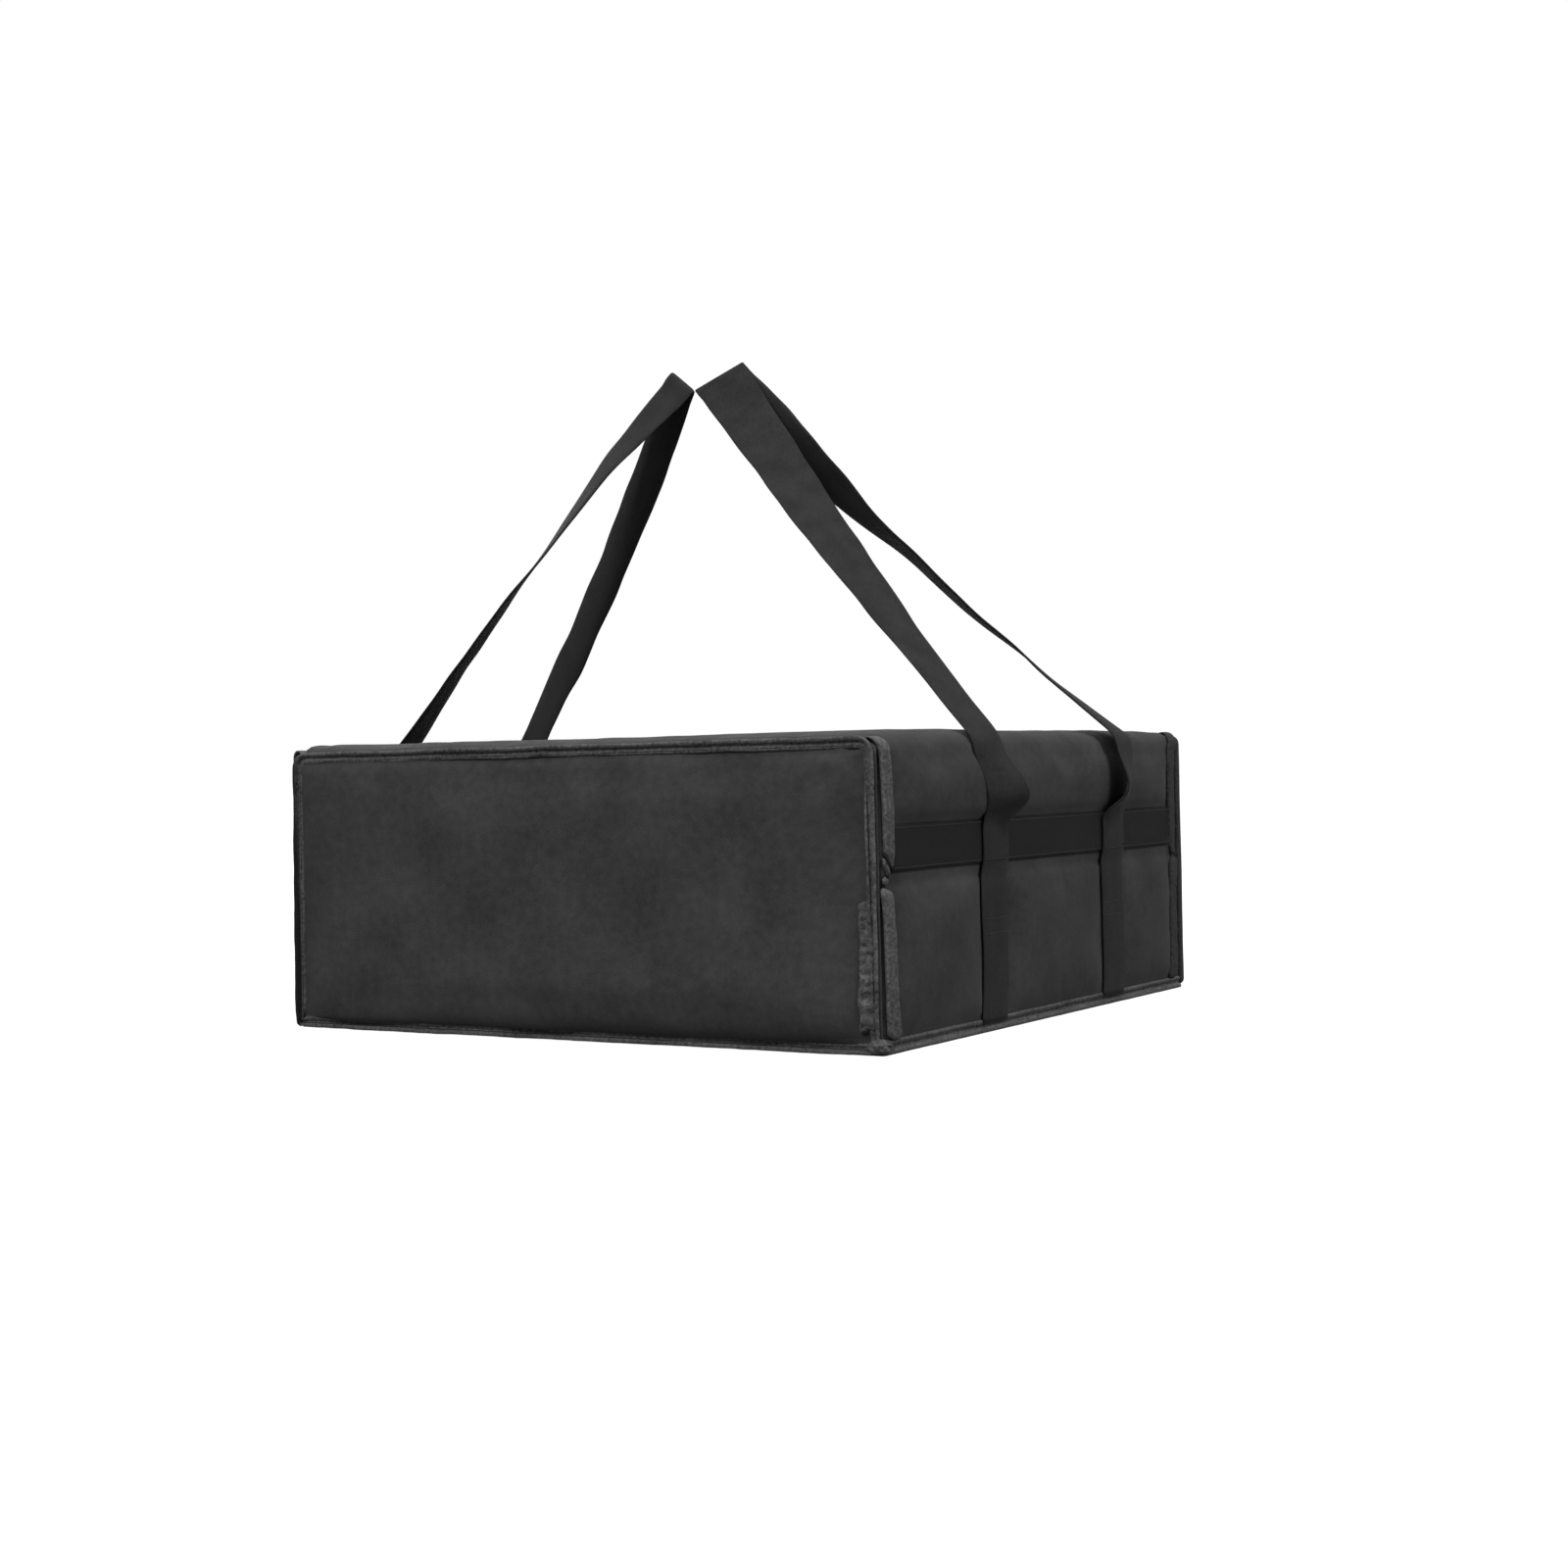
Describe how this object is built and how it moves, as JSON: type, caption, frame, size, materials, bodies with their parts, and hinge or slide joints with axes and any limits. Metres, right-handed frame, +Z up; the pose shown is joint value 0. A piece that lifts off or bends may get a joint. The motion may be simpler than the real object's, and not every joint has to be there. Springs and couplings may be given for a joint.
{
  "type": "pizza delivery bag",
  "caption": "Soft insulated box bag that carries pizza boxes flat, with a front flap on a hook-and-loop closure and webbing carry loops on opposite walls.",
  "frame": {"origin": "middle of the base, on the surface that the bag stands on", "axes": "+Z up; +Y towards the front flap, so the plain end faces -Y; +X and -X towards the two handle walls"},
  "size_m": [0.5184, 0.5, 0.4913],
  "materials": {
    "cover_fabric": "matte non-woven fabric, charcoal black",
    "binding_tape": "folded non-woven binding, a little lighter at its folds",
    "webbing": "flat black carrying tape",
    "foam_board": "closed-cell foam sheet",
    "foil_lining": "satin foil film, lightly crinkled",
    "stiffener_board": "plain fluted sheet",
    "hook_and_loop": "matte black hook-and-loop tape"
  },
  "bodies": {
    "bag": {"base_board": "stiffener_board", "bottom_cover": "cover_fabric", "bottom_foam": "foam_board", "bottom_liner": "foil_lining", "end_binding": "binding_tape", "end_cover": "cover_fabric", "end_foam": "foam_board", "end_liner": "foil_lining", "left_band": "webbing", "left_foam_lower": "foam_board", "left_foam_upper": "foam_board", "left_front_binding_lower": "binding_tape", "left_front_binding_upper": "binding_tape", "left_front_strap": "webbing", "left_rear_binding_lower": "binding_tape", "left_rear_binding_upper": "binding_tape", "left_rear_strap": "webbing", "left_seam_binding": "binding_tape", "lip_binding": "binding_tape", "lip_cover": "cover_fabric", "lip_foam": "foam_board", "lip_liner": "foil_lining", "loop_strip": "hook_and_loop", "mouth_binding": "binding_tape", "right_band": "webbing", "right_foam_lower": "foam_board", "right_foam_upper": "foam_board", "right_front_binding_lower": "binding_tape", "right_front_binding_upper": "binding_tape", "right_front_strap": "webbing", "right_rear_binding_lower": "binding_tape", "right_rear_binding_upper": "binding_tape", "right_rear_strap": "webbing", "right_seam_binding": "binding_tape", "top_foam": "foam_board", "wrap_cover": "cover_fabric", "wrap_liner": "foil_lining"},
    "flap": {"flap_cover": "cover_fabric", "flap_foam": "foam_board", "flap_liner": "foil_lining", "flap_binding": "binding_tape", "right_hook_strip": "hook_and_loop", "left_hook_strip": "hook_and_loop"},
    "right_loop": {"right_handle": "webbing"},
    "left_loop": {"left_handle": "webbing"}
  },
  "joints": [
    {"name": "flap_fold", "type": "hinge", "parent": "bag", "child": "flap", "pos_m": [0, 0.25, 0.2053], "axis": [1, 0, 0], "range_deg": [0, 235]},
    {"name": "right_handle_swing", "type": "hinge", "parent": "bag", "child": "right_loop", "pos_m": [0.2555, 0, 0.203], "axis": [0, 1, 0], "range_deg": [0, 160]},
    {"name": "left_handle_swing", "type": "hinge", "parent": "bag", "child": "left_loop", "pos_m": [-0.2555, 0, 0.203], "axis": [0, -1, 0], "range_deg": [0, 160]}
  ]
}
